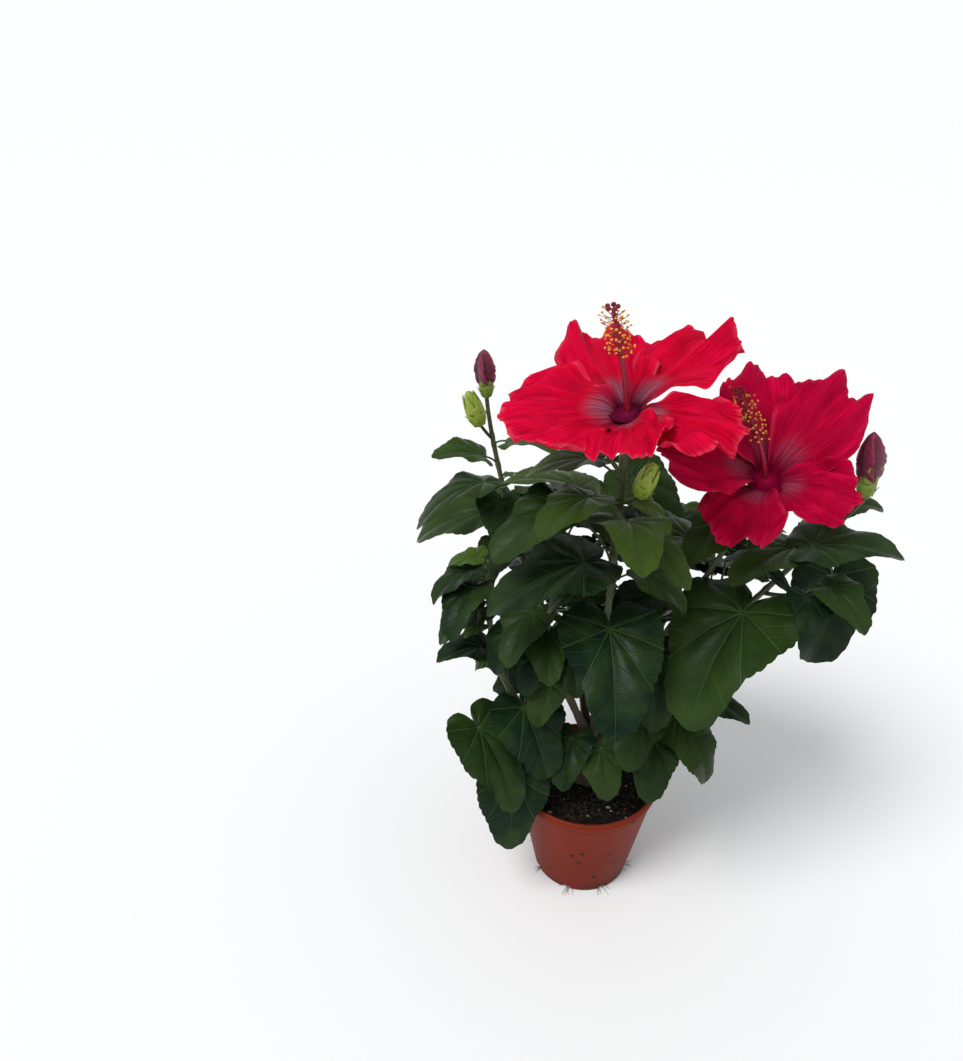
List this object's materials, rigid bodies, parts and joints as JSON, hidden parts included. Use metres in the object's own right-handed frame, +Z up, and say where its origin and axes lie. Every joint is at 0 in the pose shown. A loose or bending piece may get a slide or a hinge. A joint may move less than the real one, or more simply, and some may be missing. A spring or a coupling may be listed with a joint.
{
  "type": "hibiscus shrub in a plant pot",
  "caption": "Potted hibiscus shrub: a short trunk with spreading boughs, glossy toothed leaves, furled buds and wide open red flowers with long columns, in a tapered plastic pot.",
  "frame": {"origin": "middle of the pot's flat underside", "axes": "+Z up the trunk, -Y towards the plant's face, +X to the right of someone who looks at its face"},
  "size_m": [0.379, 0.2992, 0.563],
  "materials": {
    "pot": "satin",
    "soil": "matt",
    "bark": "matt",
    "foliage": "glossy leaves",
    "flowering": "satin petals over glossy leaves"
  },
  "bodies": {
    "root": {"pot": "pot", "soil": "soil", "trunk": "bark", "bough_centre": "bark", "foliage_centre": "flowering", "bough_right": "bark", "foliage_right": "flowering", "bough_farRight": "bark", "foliage_farRight": "foliage", "bough_leftBud": "bark", "foliage_leftBud": "foliage", "bough_lowLeft": "bark", "foliage_lowLeft": "foliage", "bough_left": "bark", "foliage_left": "foliage", "bough_lowRight": "bark", "foliage_lowRight": "foliage", "bough_farLowLeft": "bark", "foliage_farLowLeft": "foliage", "foliage_low": "foliage", "bough_backLeft": "bark", "foliage_backLeft": "foliage", "bough_back": "bark", "foliage_back": "foliage", "bough_backRight": "bark", "foliage_backRight": "foliage", "bough_lowBack": "bark", "foliage_lowBack": "foliage"}
  },
  "joints": []
}
